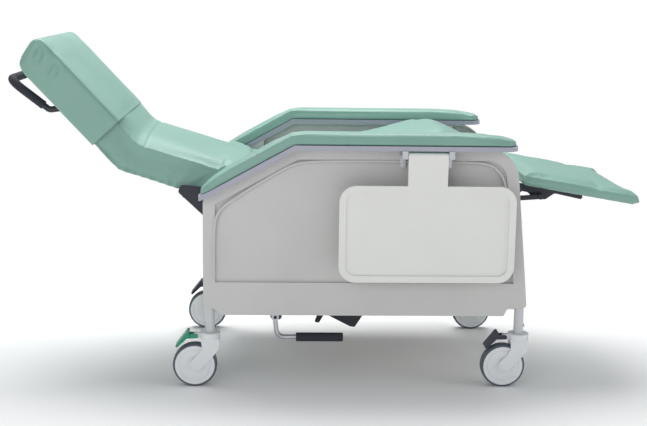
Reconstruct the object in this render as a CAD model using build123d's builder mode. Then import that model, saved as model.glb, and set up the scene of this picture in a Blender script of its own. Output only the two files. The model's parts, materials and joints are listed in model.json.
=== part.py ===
"""Patient recliner on casters, fully reclined with its footrest up. Millimetres, +X towards the feet.

Sizes are laid out from a point on the floor midway between the four caster posts and on the middle plane.
The right side is -Y. The last lines move every piece so that the origin is under the middle of the chair.
"""

import os
from math import atan2, cos, degrees, hypot, radians, sin, tan

from build123d import *

# ---- Driving dimensions ------------------------------------------------------------------------------
wheelbase = 892
track = 605
running_gap = 0.05
seat_gap = 0.3

# Base tubes
post_radius = 14
post_top = 258
rail_height = 244
rail_radius = 14
cross_radius = 12
tube_wall = 2

# Side panels
panel_wall = 3
panel_overhang = 18
panel_recess = 8
panel_border = 34
beam_bottom = 214
beam_top = 310
corner_bottom = 240
panel_lean = 34
panel_shoulder = 90

# Arms
arm_width = 97
arm_underside = 698
arm_tip = 415
arm_rear = -475
arm_kink = -205
arm_slope = 29
channel_thickness = 13
arm_pad_thickness = 31

# Pivot shared by the seat and the back
pivot_x = -330
pivot_z = 560
pivot_bolt_radius = 8
lug_thickness = 6
lug_radius = 24

# Seat
seat_width = 516
seat_front = 443
hump_x = 233
hump_z = 732
seat_board_thickness = 12
seat_board_slope = 6.85

# Back
back_width = 530
back_slope = 17.5
back_half_thickness = 56
back_length = 362
head_slope = 47.2
head_length = 383
head_half_thickness = 52
head_overhang = 20
cover_length = 298
back_board_thickness = 12
rear_cover_thickness = 6

# Push bar
bar_radius = 9
grip_radius = 12.5
bar_spread = 380

# Footrest
legrest_width = 505
legrest_slope = -9.6
legrest_hinge_x = 437
legrest_hinge_z = 576
hinge_tube_radius = 9
legrest_start = 446
legrest_joint = 675
legrest_end = 806
legrest_pad_thickness = 30
foot_pad_thickness = 27
legrest_board_thickness = 8

# Fold-down trays
tray_length = 493
tray_height = 274
tray_start = -83
tray_bottom = 327
tray_thickness = 14
tray_rim = 19
tray_corner = 47
neck_width = 110
neck_start = 106
tray_hinge_height = 684
tray_pin_radius = 4

# Casters
wheel_diameter = 127
wheel_width = 32
rim_radius = 48
caster_trail = 43
ring_radius = 30
ring_bottom = 142
ring_top = 159.2
stem_radius = 11
axle_radius = 5

# Gas spring and drive bars
cylinder_radius = 11
rod_radius = 4
cylinder_length = 300

# ---- Worked-out places -------------------------------------------------------------------------------
half_base = wheelbase / 2
half_track = track / 2
wheel_radius = wheel_diameter / 2
post_bottom = ring_top + seat_gap
panel_back = half_track - post_radius - 0.5
panel_face = half_track + post_radius + panel_wall + 2.5
panel_depth = panel_face - panel_back
panel_end = half_base + panel_overhang
arm_inner = panel_back - 3
arm_outer = arm_inner + arm_width
seat_half = seat_width / 2
back_half = back_width / 2
legrest_half = legrest_width / 2
seat_lug = seat_half + 9
back_lug = seat_lug + lug_thickness + 1.5
slope = tan(radians(arm_slope))


def under_arm(x):
    """Height of the arm channel's underside at x."""
    return arm_underside - slope * max(0, arm_kink - x)


def along(start, angle, distance, across=0):
    """The point a distance along a line at an angle from start, and a distance to its left."""
    a = radians(angle)
    x = start[0] + distance * cos(a) - across * sin(a)
    z = start[1] + distance * sin(a) + across * cos(a)
    return (x, z)


def slab(corners, inner, thickness):
    """A plate on the right side, from inner outwards. Corners are (x, z, corner radius)."""
    with BuildPart() as made:
        with BuildSketch(Plane.XZ.offset(inner)):
            with BuildLine():
                FilletPolyline(
                    *[(x, z) for x, z, r in corners],
                    radius=[r for x, z, r in corners],
                    close=True,
                )
            make_face()
        extrude(amount=thickness)
    return made.part


def rod_across(x, z, radius, inner, length):
    """A round bar along Y on the right side, from inner outwards."""
    with BuildPart() as made:
        with BuildSketch(Plane.XZ.offset(inner)):
            with Locations((x, z)):
                Circle(radius)
        extrude(amount=length)
    return made.part


pieces = {}


def keep(part, name):
    """Labels a finished piece and puts it on the list to write."""
    part.label = name
    pieces[name] = part


def keep_pair(part, name):
    """Keeps a right-hand piece and its mirror image on the left."""
    keep(part, name + "_right")
    keep(mirror(part, about=Plane.XZ), name + "_left")


# ---- Base frame: posts, rails and cross tubes --------------------------------------------------------
with BuildPart() as corner_posts:
    with BuildSketch(Plane.XY.offset(post_bottom)):
        with GridLocations(wheelbase, track, 2, 2):
            Circle(post_radius)
    extrude(amount=post_top - post_bottom)
    with BuildSketch(Plane.XY.offset(post_bottom)):
        with GridLocations(wheelbase, track, 2, 2):
            Circle(stem_radius + running_gap)
    extrude(amount=62, mode=Mode.SUBTRACT)
keep(corner_posts.part, "corner_posts")

with BuildPart() as post_space:
    with BuildSketch(Plane.XY.offset(post_bottom)):
        with GridLocations(wheelbase, track, 2, 2):
            Circle(post_radius)
    extrude(amount=post_top - post_bottom + 20)

with BuildPart() as bottom_rails:
    with BuildSketch(Plane.YZ.offset(-half_base)):
        with Locations((-half_track, rail_height), (half_track, rail_height)):
            Circle(rail_radius)
            Circle(rail_radius - tube_wall, mode=Mode.SUBTRACT)
    extrude(amount=wheelbase)
    add(post_space.part, mode=Mode.SUBTRACT)
    with Locations((-half_base, 0, rail_height), (half_base, 0, rail_height)):
        Box(2 * post_radius, 2 * track, 4 * rail_radius, mode=Mode.SUBTRACT)
keep(bottom_rails.part, "bottom_rails")

with BuildPart() as rail_space:
    with BuildSketch(Plane.YZ.offset(-half_base)):
        with Locations((-half_track, rail_height), (half_track, rail_height)):
            Circle(rail_radius)
    extrude(amount=wheelbase)

lever_tube_x = -255
spring_tube_x = 60
cross_tube_places = (-half_base, lever_tube_x, spring_tube_x, half_base)
with BuildPart() as cross_tubes:
    with BuildSketch(Plane.XZ.offset(-half_track)):
        with Locations(*[(x, rail_height) for x in cross_tube_places]):
            Circle(cross_radius)
            Circle(cross_radius - tube_wall, mode=Mode.SUBTRACT)
    extrude(amount=track)
    add(rail_space.part, mode=Mode.SUBTRACT)
    add(post_space.part, mode=Mode.SUBTRACT)
keep(cross_tubes.part, "cross_tubes")

# Two box-section uprights a side carry the arm channel, and the rear one holds the pivot bolt.
upright_inner = panel_back + 1
upright_depth = panel_depth - panel_wall - panel_recess - 2
rear_upright_half = 28
front_upright_x = 300
front_upright_half = 20
with BuildPart() as arm_uprights:
    for upright_x, half in ((pivot_x, rear_upright_half), (front_upright_x, front_upright_half)):
        for shrink, depth_shrink, mode in ((0, 0, Mode.ADD), (tube_wall, tube_wall, Mode.SUBTRACT)):
            x_rear = upright_x - half + shrink
            x_front = upright_x + half - shrink
            under = panel_wall + 1 + shrink
            add(
                slab(
                    [
                        (x_rear, rail_height + shrink, 0),
                        (x_front, rail_height + shrink, 0),
                        (x_front, under_arm(x_front) - under, 0),
                        (x_rear, under_arm(x_rear) - under, 0),
                    ],
                    upright_inner + depth_shrink,
                    upright_depth - 2 * depth_shrink,
                ),
                mode=mode,
            )
        with Locations((upright_x, -half_track, rail_height - 50)):
            Box(200, 100, 100, mode=Mode.SUBTRACT)
    add(rod_across(pivot_x, pivot_z, pivot_bolt_radius + 4, upright_inner, upright_depth))
    add(rod_across(pivot_x, pivot_z, pivot_bolt_radius, 0, panel_face), mode=Mode.SUBTRACT)
    add(rail_space.part, mode=Mode.SUBTRACT)
    mirror(about=Plane.XZ)
keep(arm_uprights.part, "arm_uprights")

# Locking screws low on each post, facing the ends of the chair
with BuildPart() as post_screws:
    for screw_end in (-1, 1):
        with BuildSketch(Plane.YZ.offset(screw_end * (half_base + post_radius - 1))):
            with Locations((-half_track, 182), (half_track, 182)):
                Circle(5)
        extrude(amount=4 * screw_end)
    add(corner_posts.part, mode=Mode.SUBTRACT)
keep(post_screws.part, "post_screws")

# ---- Side panels: moulded shells, open to the inside --------------------------------------------------
front_top_x = panel_end - panel_lean * (arm_underside - corner_bottom) / (577 - corner_bottom)
panel_corners = [
    (-panel_end, corner_bottom, 0),
    (-panel_end + 19, corner_bottom, 0),
    (-panel_end + 56, beam_bottom, 6),
    (panel_end - 66, beam_bottom, 6),
    (panel_end - 56, corner_bottom - 6, 4),
    (panel_end, corner_bottom, 8),
    (front_top_x, arm_underside, panel_shoulder),
    (arm_kink, arm_underside, 0),
    (-panel_end, under_arm(-panel_end), 30),
]


def panel_sketch(plane, inset):
    """The side panel's outline, drawn in by a distance."""
    with BuildSketch(plane) as made:
        with BuildLine():
            FilletPolyline(
                *[(x, z) for x, z, r in panel_corners],
                radius=[r for x, z, r in panel_corners],
                close=True,
            )
        make_face()
        if inset:
            offset(amount=-inset)
    return made.sketch


def above_beam(height):
    """A region over the whole panel above a height, on the middle plane."""
    with BuildSketch(Plane.XZ) as made:
        with Locations((0, height + 300)):
            Rectangle(4 * half_base, 600)
    return made.sketch


outline = panel_sketch(Plane.XZ, 0)
inner_outline = panel_sketch(Plane.XZ, panel_wall)
recess_outline = panel_sketch(Plane.XZ, panel_border) & above_beam(beam_top)
step_outline = panel_sketch(Plane.XZ, panel_border - panel_wall) & above_beam(beam_top - panel_wall)
recess_floor = panel_face - panel_recess
notch_start = neck_start - 6
notch_width = neck_width + 12
with BuildPart() as side_panel:
    with BuildSketch(Plane.XZ.offset(panel_back)):
        add(outline)
    extrude(amount=panel_depth)
    with BuildSketch(Plane.XZ.offset(panel_back)):
        add(inner_outline)
    extrude(amount=recess_floor - panel_wall - panel_back, mode=Mode.SUBTRACT)
    with BuildSketch(Plane.XZ.offset(panel_back)):
        add(inner_outline)
        add(step_outline, mode=Mode.SUBTRACT)
    extrude(amount=panel_depth - panel_wall, mode=Mode.SUBTRACT)
    with BuildSketch(Plane.XZ.offset(recess_floor)):
        add(recess_outline)
    extrude(amount=panel_recess + 1, mode=Mode.SUBTRACT)
    add(
        slab(
            [
                (notch_start, 678, 4),
                (notch_start + notch_width, 678, 4),
                (notch_start + notch_width, arm_underside - panel_wall, 4),
                (notch_start, arm_underside - panel_wall, 4),
            ],
            recess_floor,
            panel_recess + 1,
        ),
        mode=Mode.SUBTRACT,
    )
    with BuildSketch(Plane.XY.offset(post_bottom)):
        with Locations((-half_base, -half_track), (half_base, -half_track)):
            Circle(post_radius + seat_gap)
    extrude(amount=post_top - post_bottom, mode=Mode.SUBTRACT)
    with BuildSketch(Plane.YZ.offset(-half_base)):
        with Locations((-half_track, rail_height)):
            Circle(rail_radius + seat_gap)
    extrude(amount=wheelbase, mode=Mode.SUBTRACT)
    for x in (-half_base, half_base):
        add(rod_across(x, rail_height, cross_radius + seat_gap, 0, half_track), mode=Mode.SUBTRACT)
keep_pair(side_panel.part, "side_panel")

# ---- Arms: steel channel with an upholstered pad -----------------------------------------------------
arm_middle = (arm_inner + arm_outer) / 2


def arm_strip(low, high, inset, nose_radius):
    """A strip that follows the arm between two distances above the channel's underside."""
    rise = 1 / cos(radians(arm_slope))
    shift = tan(radians(arm_slope) / 2)
    with BuildPart() as made:
        with BuildSketch(Plane.XZ.offset(arm_inner + inset)):
            with BuildLine():
                Polyline(
                    (arm_rear - 60, under_arm(arm_rear - 60) + low * rise),
                    (arm_kink - low * shift, arm_underside + low),
                    (arm_tip - inset, arm_underside + low),
                    (arm_tip - inset, arm_underside + high),
                    (arm_kink - high * shift, arm_underside + high),
                    (arm_rear - 60, under_arm(arm_rear - 60) + high * rise),
                    close=True,
                )
            make_face()
        extrude(amount=arm_width - 2 * inset)
        plan_length = arm_tip - arm_rear - 2 * inset
        with BuildSketch(Plane.XY.offset(400)):
            with Locations(((arm_tip + arm_rear) / 2, -arm_middle)):
                RectangleRounded(plan_length, arm_width - 2 * inset, nose_radius)
        extrude(amount=500, mode=Mode.INTERSECT)
    return made.part


keep_pair(arm_strip(0, channel_thickness, 0, 42), "arm_channel")
pad_top = channel_thickness + arm_pad_thickness
keep_pair(arm_strip(channel_thickness, pad_top, 3, 40), "arm_pad")

# ---- Tray hinge: hook brackets and a pin under each arm ----------------------------------------------
tray_face = arm_outer + 4
tray_back = tray_face - tray_thickness
tray_hinge_y = tray_face - 9
ear_width = 16
ear_gap = 1.5
neck_end = neck_start + neck_width
ear_height = 22
with BuildPart() as tray_brackets:
    for ear_x in (neck_start - ear_gap - ear_width, neck_end + ear_gap):
        with BuildSketch(Plane.YZ.offset(ear_x)):
            with BuildLine():
                Polyline(
                    (-panel_face - 0.2, arm_underside),
                    (-tray_face + 1, arm_underside),
                    (-tray_face + 1, arm_underside - ear_height),
                    (-tray_face + 16, arm_underside - ear_height),
                    (-panel_face - 5, arm_underside - ear_height),
                    (-panel_face - 5, 645),
                    (-panel_face - 0.2, 645),
                    close=True,
                )
            make_face()
            with Locations((-tray_hinge_y, tray_hinge_height)):
                Circle(tray_pin_radius, mode=Mode.SUBTRACT)
        extrude(amount=ear_width)
    with BuildSketch(Plane.YZ.offset(neck_start - ear_gap - ear_width - 3)):
        with Locations((-tray_hinge_y, tray_hinge_height)):
            Circle(tray_pin_radius)
    extrude(amount=neck_width + 2 * (ear_gap + ear_width + 3))
keep_pair(tray_brackets.part, "tray_bracket")

# ---- Trays: moulded boards that hang beside the chair ------------------------------------------------
tray_mid = (tray_start + tray_length / 2, tray_bottom + tray_height / 2)
with BuildPart() as tray:
    with BuildSketch(Plane.XZ.offset(tray_back)):
        with Locations(tray_mid):
            RectangleRounded(tray_length, tray_height, tray_corner)
        with Locations(((neck_start + neck_end) / 2, (tray_bottom + tray_hinge_height) / 2 + 60)):
            Rectangle(neck_width, tray_hinge_height - tray_bottom - 120)
    extrude(amount=tray_thickness)
    with BuildSketch(Plane.XZ.offset(tray_face)):
        with Locations(tray_mid):
            RectangleRounded(tray_length - 2 * tray_rim, tray_height - 2 * tray_rim, tray_corner - tray_rim)
    extrude(amount=-5, mode=Mode.SUBTRACT)
    with BuildSketch(Plane.YZ.offset(neck_start)):
        with Locations((-tray_hinge_y, tray_hinge_height)):
            Circle(9)
    extrude(amount=neck_width)
    with BuildSketch(Plane.YZ.offset(neck_start - 1)):
        with Locations((-tray_hinge_y, tray_hinge_height)):
            Circle(tray_pin_radius + running_gap)
    extrude(amount=neck_width + 2, mode=Mode.SUBTRACT)
keep_pair(tray.part, "tray")

# ---- Pivot bolts: one a side, through the back lug and the seat lug ----------------------------------
bolt_head_inner = seat_lug - 4
spacer_inner = back_lug + lug_thickness + 0.5
bolt_length = upright_inner + upright_depth - bolt_head_inner
with BuildPart() as pivot_bolts:
    add(rod_across(pivot_x, pivot_z, pivot_bolt_radius, bolt_head_inner, bolt_length))
    add(rod_across(pivot_x, pivot_z, 14, bolt_head_inner - 1, 4.5))
    add(rod_across(pivot_x, pivot_z, 15, spacer_inner, upright_inner - spacer_inner))
    mirror(about=Plane.XZ)
keep(pivot_bolts.part, "pivot_bolts")

# ---- Seat: side rails, cross bars, board and cushion -------------------------------------------------
board_rear_x = pivot_x + 62
board_front_x = legrest_hinge_x - 22
board_rise = tan(radians(seat_board_slope))
board_rear_z = pivot_z - 52


def board_under(x):
    """Height of the seat board's underside at x."""
    return board_rear_z + board_rise * (x - board_rear_x)


cushion_clearance = 3
back_end_radius = back_half_thickness + cushion_clearance
with BuildPart() as seat_rails:
    add(
        slab(
            [
                (pivot_x - 4, pivot_z - lug_radius, 8),
                (pivot_x + 70, board_under(pivot_x + 70) - 12, 20),
                (legrest_hinge_x - 8, legrest_hinge_z - 16, 12),
                (legrest_hinge_x + 2, legrest_hinge_z + 13, 6),
                (pivot_x + 110, board_under(pivot_x + 110) + 34, 20),
                (pivot_x + 20, pivot_z + lug_radius - 2, 8),
                (pivot_x - 4, pivot_z + lug_radius, 3),
            ],
            seat_lug,
            lug_thickness,
        )
    )
    add(rod_across(pivot_x, pivot_z, lug_radius, seat_lug, lug_thickness))
    add(
        rod_across(pivot_x, pivot_z, pivot_bolt_radius + running_gap, 0, panel_face),
        mode=Mode.SUBTRACT,
    )
    add(rod_across(legrest_hinge_x, legrest_hinge_z, hinge_tube_radius, 0, panel_face), mode=Mode.SUBTRACT)
    mirror(about=Plane.XZ)
keep(seat_rails.part, "seat_rails")

cross_bar_thickness = 10
spring_pin_x = 200
spring_pin_z = 520
hinge_reach = seat_lug + lug_thickness
with BuildPart() as seat_cross_members:
    add(rod_across(legrest_hinge_x, legrest_hinge_z, hinge_tube_radius, -hinge_reach, 2 * hinge_reach))
    for bar_x in (-150, spring_pin_x):
        add(
            slab(
                [
                    (bar_x - 16, board_under(bar_x - 16), 0),
                    (bar_x - 16, board_under(bar_x - 16) - cross_bar_thickness, 0),
                    (bar_x + 16, board_under(bar_x + 16) - cross_bar_thickness, 0),
                    (bar_x + 16, board_under(bar_x + 16), 0),
                ],
                -seat_lug,
                2 * seat_lug,
            )
        )
keep(seat_cross_members.part, "seat_cross_members")

bracket_top = board_under(spring_pin_x - 12) - cross_bar_thickness
with BuildPart() as seat_spring_bracket:
    add(
        slab(
            [
                (spring_pin_x - 12, bracket_top, 0),
                (spring_pin_x - 10, spring_pin_z - 10, 8),
                (spring_pin_x + 10, spring_pin_z - 10, 8),
                (spring_pin_x + 12, board_under(spring_pin_x + 12) - cross_bar_thickness, 0),
            ],
            9,
            4,
        )
    )
    mirror(about=Plane.XZ)
    add(rod_across(spring_pin_x, spring_pin_z, rod_radius, -15, 30))
keep(seat_spring_bracket.part, "seat_spring_bracket")

with BuildPart() as seat_board:
    add(
        slab(
            [
                (board_rear_x, board_under(board_rear_x), 0),
                (board_front_x, board_under(board_front_x), 0),
                (board_front_x, board_under(board_front_x) + seat_board_thickness, 0),
                (board_rear_x, board_under(board_rear_x) + seat_board_thickness, 0),
            ],
            -seat_lug + 1,
            2 * seat_lug - 2,
        )
    )
keep(seat_board.part, "seat_board")


def board_over(x):
    """Height of the seat board's top at x, with the cushion's clearance."""
    return board_under(x) + seat_board_thickness + seat_gap


with BuildPart() as seat_cushion:
    add(
        slab(
            [
                (pivot_x + 20, board_over(pivot_x + 20), 0),
                (board_front_x, board_over(board_front_x), 0),
                (seat_front, board_over(board_front_x) + 2, 0),
                (seat_front, board_over(board_front_x) + 22, 8),
                (hump_x, hump_z, 60),
                (pivot_x + 40, pivot_z + 41, 6),
                (pivot_x + 20, pivot_z + 20, 0),
            ],
            -seat_half,
            2 * seat_half,
        )
    )
    add(rod_across(pivot_x, pivot_z, back_end_radius, -seat_half - 1, 2 * seat_half + 2), mode=Mode.SUBTRACT)
keep(seat_cushion.part, "seat_cushion")

# ---- Back: lugs, tubes, board, cushion and the slip cover on its head end ----------------------------
pivot = (pivot_x, pivot_z)
lower_angle = 180 - back_slope
upper_angle = 180 - head_slope
bend = along(pivot, lower_angle, back_length)
turn = (head_slope - back_slope) / 2
mitre = tan(radians(turn))


def back_point(distance, depth):
    """A point along the back from the pivot, at a depth in front of its middle line."""
    if distance <= back_length:
        return along(pivot, lower_angle, distance, -depth)
    return along(bend, upper_angle, distance - back_length, -depth)


def back_layer(front, rear, start, end, half, rounds=0):
    """A layer of the lower back and the head end, between two depths from the middle line."""
    return slab(
        [
            (*back_point(start, front), 0),
            (*along(pivot, lower_angle, back_length - front * mitre, -front), rounds),
            (*back_point(end, front), 0),
            (*back_point(end, rear), 0),
            (*along(pivot, lower_angle, back_length - rear * mitre, -rear), rounds),
            (*back_point(start, rear), 0),
        ],
        -half,
        2 * half,
    )


back_end = back_length + head_length
hem = back_end - cover_length
board_front = -(back_half_thickness - back_board_thickness - rear_cover_thickness)
board_rear = board_front - back_board_thickness
cover_rear = board_rear - rear_cover_thickness
cushion_rear = board_front + seat_gap
with BuildPart() as back_cushion:
    add(back_layer(back_half_thickness, cushion_rear, 0, hem - 0.5, back_half))
    add(rod_across(pivot_x, pivot_z, back_half_thickness, -back_half, 2 * back_half))
    add(slab(
        [
            (pivot_x + 80, pivot_z - 80, 0),
            (pivot_x + 80, pivot_z - back_half_thickness - 1, 0),
            (*along(pivot, lower_angle, -60, -cushion_rear), 0),
            (*back_point(150, cushion_rear), 0),
            (*back_point(150, cushion_rear - 80), 0),
        ],
        -back_half - 1,
        2 * back_half + 2,
    ), mode=Mode.SUBTRACT)
    for side in (-1, 1):
        with BuildSketch(Plane.XZ.offset(side * (seat_lug - 6))):
            with Locations(pivot):
                Circle(lug_radius + 12)
        extrude(amount=side * 60, mode=Mode.SUBTRACT)
keep(back_cushion.part, "back_cushion")

with BuildPart() as head_cushion:
    add(
        slab(
            [
                (*back_point(hem + 0.5, head_half_thickness + 5), 0),
                (*back_point(back_end + head_overhang, head_half_thickness - 4), 26),
                (*back_point(back_end, cushion_rear), 0),
                (*back_point(hem + 0.5, cushion_rear), 0),
            ],
            -back_half,
            2 * back_half,
        )
    )
keep(head_cushion.part, "head_cushion")

board_start = 64
with BuildPart() as back_board:
    add(back_layer(board_front, board_rear, board_start, back_end - 6, back_half - 12))
keep(back_board.part, "back_board")

with BuildPart() as back_rear_cover:
    add(back_layer(board_rear - seat_gap, cover_rear, board_start, back_end - 3, back_half))
keep(back_rear_cover.part, "back_rear_cover")

# Black side plates turn on the pivot bolts and run back under the cushion's edge.
plate_back = 196
with BuildPart() as back_plates:
    add(
        slab(
            [
                (pivot_x + 10, pivot_z - 70, 10),
                (pivot_x + 26, pivot_z + 4, 12),
                (pivot_x, pivot_z + 24, 12),
                (pivot_x - 40, pivot_z + 8, 20),
                (*back_point(plate_back, board_front), 8),
                (*back_point(plate_back + 2, cover_rear - 4), 8),
                (pivot_x - 132, pivot_z - 68, 20),
                (pivot_x - 60, pivot_z - 78, 20),
            ],
            back_lug,
            lug_thickness,
        )
    )
    add(rod_across(pivot_x, pivot_z, pivot_bolt_radius + running_gap, 0, panel_face), mode=Mode.SUBTRACT)
    mirror(about=Plane.XZ)
keep(back_plates.part, "back_plates")

torque_x = pivot_x - 52
torque_z = pivot_z - 56
torque_radius = 11
brace_end = 176
with BuildPart() as back_cross_tubes:
    add(rod_across(torque_x, torque_z, torque_radius, -back_lug, 2 * back_lug))
    add(rod_across(*back_point(brace_end, cover_rear - 8), 8, -back_lug, 2 * back_lug))
keep(back_cross_tubes.part, "back_cross_tubes")

# Crank plates on the torque tube pull the drive bars.
crank_radius = 78
half_swing = 18.5
crank_pin = (pivot_x + crank_radius * sin(radians(half_swing)), pivot_z - crank_radius * cos(radians(half_swing)))
crank_inner = 202
with BuildPart() as crank_plates:
    add(
        slab(
            [
                (torque_x - 16, torque_z - 18, 12),
                (crank_pin[0] + 9, crank_pin[1] - 10, 8),
                (crank_pin[0] + 9, crank_pin[1] + 9, 8),
                (torque_x - 6, torque_z + 18, 12),
            ],
            crank_inner,
            5,
        )
    )
    add(back_cross_tubes.part, mode=Mode.SUBTRACT)
    mirror(about=Plane.XZ)
keep(crank_plates.part, "crank_plates")

# ---- Push bar behind the head, with a foam grip ------------------------------------------------------
bar_root = back_point(back_length + 216, cover_rear)
bar_foot = (-908, 783)
bar_corner = (-1018, 868)
bar_half = bar_spread / 2
with BuildPart() as push_bar:
    with BuildLine() as bar_path:
        FilletPolyline(
            (bar_root[0], -bar_half, bar_root[1]),
            (bar_foot[0], -bar_half, bar_foot[1]),
            (bar_corner[0], -bar_half, bar_corner[1]),
            (bar_corner[0], bar_half, bar_corner[1]),
            (bar_foot[0], bar_half, bar_foot[1]),
            (bar_root[0], bar_half, bar_root[1]),
            radius=[16, 42, 42, 16],
        )
    with BuildSketch(Plane(bar_path.wire() @ 0, z_dir=bar_path.wire() % 0)):
        Circle(bar_radius)
    sweep()
    add(back_rear_cover.part, mode=Mode.SUBTRACT)
keep(push_bar.part, "push_bar")

leg_turn = atan2(bar_corner[1] - bar_foot[1], bar_foot[0] - bar_corner[0])
grip_start = (bar_foot[0] - 20 * cos(leg_turn), bar_foot[1] + 20 * sin(leg_turn))
with BuildPart() as push_grip:
    with BuildLine() as grip_path:
        FilletPolyline(
            (grip_start[0], -bar_half, grip_start[1]),
            (bar_corner[0], -bar_half, bar_corner[1]),
            (bar_corner[0], bar_half, bar_corner[1]),
            (grip_start[0], bar_half, grip_start[1]),
            radius=[42, 42],
        )
    with BuildSketch(Plane(grip_path.wire() @ 0, z_dir=grip_path.wire() % 0)):
        Circle(grip_radius)
        Circle(bar_radius, mode=Mode.SUBTRACT)
    sweep()
keep(push_grip.part, "push_grip")

# ---- Footrest: board, two pads and hinged brackets ---------------------------------------------------
foot_fall = tan(radians(-legrest_slope))
pad_base_z = 592


def pad_under(x):
    """Height of the footrest pads' underside at x."""
    return pad_base_z - foot_fall * (x - legrest_start)


def foot_layer(start, end, low, high, half, nose):
    """A layer of the footrest between two heights over the pads' underside."""
    return slab(
        [
            (start, pad_under(start) + low, 0),
            (end, pad_under(end) + low, 0),
            (end, pad_under(end) + high, nose),
            (start, pad_under(start) + high, nose),
        ],
        -half,
        2 * half,
    )


with BuildPart() as legrest_pad:
    add(foot_layer(legrest_start, legrest_joint - 1.5, 0, legrest_pad_thickness, legrest_half, 10))
keep(legrest_pad.part, "legrest_pad")

with BuildPart() as foot_pad:
    add(foot_layer(legrest_joint + 1.5, legrest_end, 0, foot_pad_thickness, legrest_half, 9))
    plan_mid = (legrest_joint + legrest_end) / 2 - 200
    with BuildSketch(Plane.XY.offset(400)):
        with Locations((plan_mid, 0)):
            RectangleRounded(legrest_end - legrest_joint + 400, legrest_width, 28)
    extrude(amount=400, mode=Mode.INTERSECT)
keep(foot_pad.part, "foot_pad")

board_low = -seat_gap - legrest_board_thickness
with BuildPart() as legrest_board:
    add(foot_layer(legrest_start + 14, legrest_end - 22, board_low, -seat_gap, legrest_half - 16, 0))
keep(legrest_board.part, "legrest_board")

bracket_inner = 190
bracket_thickness = 8
link_pin = (513, 545)
sleeve_radius = hinge_tube_radius + 4
arm_end = 640
with BuildPart() as legrest_brackets:
    add(
        slab(
            [
                (legrest_hinge_x - 6, legrest_hinge_z - 12, 8),
                (legrest_hinge_x + 40, legrest_hinge_z - 20, 12),
                (link_pin[0] - 14, link_pin[1] - 10, 8),
                (link_pin[0] + 18, link_pin[1] - 10, 8),
                (link_pin[0] + 44, link_pin[1] + 8, 12),
                (arm_end, pad_under(arm_end) + board_low - 16, 6),
                (arm_end, pad_under(arm_end) + board_low, 0),
                (legrest_start + 14, pad_under(legrest_start + 14) + board_low, 0),
                (legrest_hinge_x + 8, legrest_hinge_z + 8, 0),
            ],
            bracket_inner,
            bracket_thickness,
        )
    )
    add(rod_across(legrest_hinge_x, legrest_hinge_z, sleeve_radius, bracket_inner, bracket_thickness))
    add(
        rod_across(legrest_hinge_x, legrest_hinge_z, hinge_tube_radius + running_gap, 0, panel_face),
        mode=Mode.SUBTRACT,
    )
    link_pin_radius = 5
    link_inner = bracket_inner + bracket_thickness + 10
    link_thickness = 5
    add(rod_across(*link_pin, link_pin_radius, bracket_inner, link_inner + link_thickness - bracket_inner))
    add(rod_across(*link_pin, 9, bracket_inner + bracket_thickness, 9.5))
    add(rod_across(*link_pin, 8, link_inner + link_thickness + 0.5, 3))
    add(rod_across(*link_pin, link_pin_radius, link_inner + link_thickness, 1))
    mirror(about=Plane.XZ)
keep(legrest_brackets.part, "legrest_brackets")

# Drive bars run under the seat from the crank plates to the footrest brackets.
bar_angle = degrees(atan2(link_pin[1] - crank_pin[1], link_pin[0] - crank_pin[0]))
drive_length = hypot(link_pin[1] - crank_pin[1], link_pin[0] - crank_pin[0])
with BuildPart() as drive_bars:
    add(
        slab(
            [
                (*along(link_pin, bar_angle, 9, -7), 6),
                (*along(link_pin, bar_angle, 9, 7), 6),
                (*along(crank_pin, bar_angle, -9, 7), 6),
                (*along(crank_pin, bar_angle, -9, -7), 6),
            ],
            link_inner,
            link_thickness,
        )
    )
    add(rod_across(*link_pin, link_pin_radius + running_gap, 0, panel_face), mode=Mode.SUBTRACT)
    mirror(about=Plane.XZ)
keep(drive_bars.part, "drive_bars")

# ---- Gas spring between the base and the seat --------------------------------------------------------
spring_foot = (lever_tube_x, rail_height + 31)
spring_angle = degrees(atan2(spring_pin_z - spring_foot[1], spring_pin_x - spring_foot[0]))
spring_span = hypot(spring_pin_z - spring_foot[1], spring_pin_x - spring_foot[0])
eye_radius = 10
foot_pin_radius = 5
with BuildPart() as spring_clevis:
    add(
        slab(
            [
                (lever_tube_x - 14, rail_height, 0),
                (lever_tube_x + 14, rail_height, 0),
                (spring_foot[0] + 10, spring_foot[1] + 9, 9),
                (spring_foot[0] - 10, spring_foot[1] + 9, 9),
            ],
            8.5,
            4,
        )
    )
    mirror(about=Plane.XZ)
    add(rod_across(*spring_foot, foot_pin_radius, -15, 30))
    add(rod_across(lever_tube_x, rail_height, cross_radius, -20, 40), mode=Mode.SUBTRACT)
    with Locations((lever_tube_x, 0, rail_height - 50)):
        Box(100, 60, 100, mode=Mode.SUBTRACT)
keep(spring_clevis.part, "spring_clevis")

spring_plane = Plane(
    origin=(spring_foot[0], 0, spring_foot[1]),
    z_dir=(cos(radians(spring_angle)), 0, sin(radians(spring_angle))),
)
with BuildPart() as spring_cylinder:
    with BuildSketch(spring_plane.offset(eye_radius + 6)):
        Circle(cylinder_radius)
    extrude(amount=cylinder_length - eye_radius - 6)
    with BuildSketch(spring_plane.offset(eye_radius + 20)):
        Circle(rod_radius + running_gap)
    extrude(amount=cylinder_length, mode=Mode.SUBTRACT)
    add(rod_across(*spring_foot, eye_radius, -7, 14))
    with BuildSketch(spring_plane):
        Circle(6)
    extrude(amount=eye_radius + 6)
    add(rod_across(*spring_foot, foot_pin_radius + running_gap, -20, 40), mode=Mode.SUBTRACT)
keep(spring_cylinder.part, "spring_cylinder")

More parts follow.
